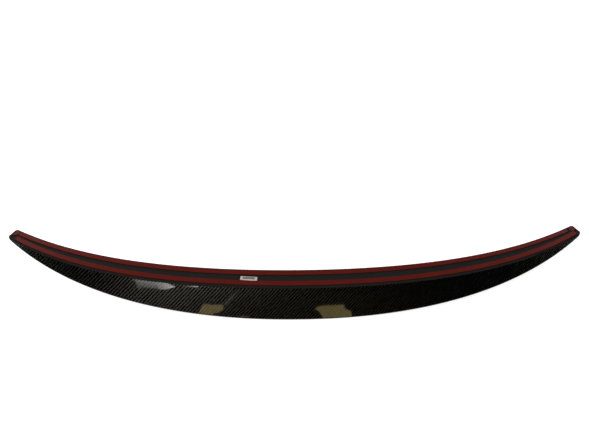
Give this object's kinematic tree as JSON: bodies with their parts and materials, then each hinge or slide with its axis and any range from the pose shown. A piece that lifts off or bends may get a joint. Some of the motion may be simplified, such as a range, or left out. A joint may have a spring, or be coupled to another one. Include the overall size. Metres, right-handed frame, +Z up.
{
  "type": "car rear spoiler",
  "caption": "Boot-lid lip spoiler, hollow woven carbon shell closed by a matte base panel with adhesive tapes under red release film, lying upside down.",
  "frame": {"origin": "middle of the footprint, on the ground that the spoiler lies on", "axes": "+X along the spoiler to the right of the picture, +Y to the front of the car, +Z up as it lies upside down"},
  "size_m": [1.1998, 0.1942, 0.0438],
  "materials": {
    "gloss_carbon": "two-by-two twill carbon under gloss clear coat",
    "matte_panel": "matte dark grey",
    "tape_foam": "dark acrylic foam",
    "release_film": "red film, faintly glossy",
    "label_paper": "white coated paper with grey print blocks"
  },
  "bodies": {
    "root": {"carbon_shell": "gloss_carbon", "base_panel": "matte_panel", "front_tape_foam": "tape_foam", "front_tape_liner": "release_film", "rear_tape_foam": "tape_foam", "rear_tape_liner": "release_film", "left_end_tape_foam": "tape_foam", "left_end_tape_liner": "release_film", "right_end_tape_foam": "tape_foam", "right_end_tape_liner": "release_film", "label": "label_paper"}
  },
  "joints": []
}
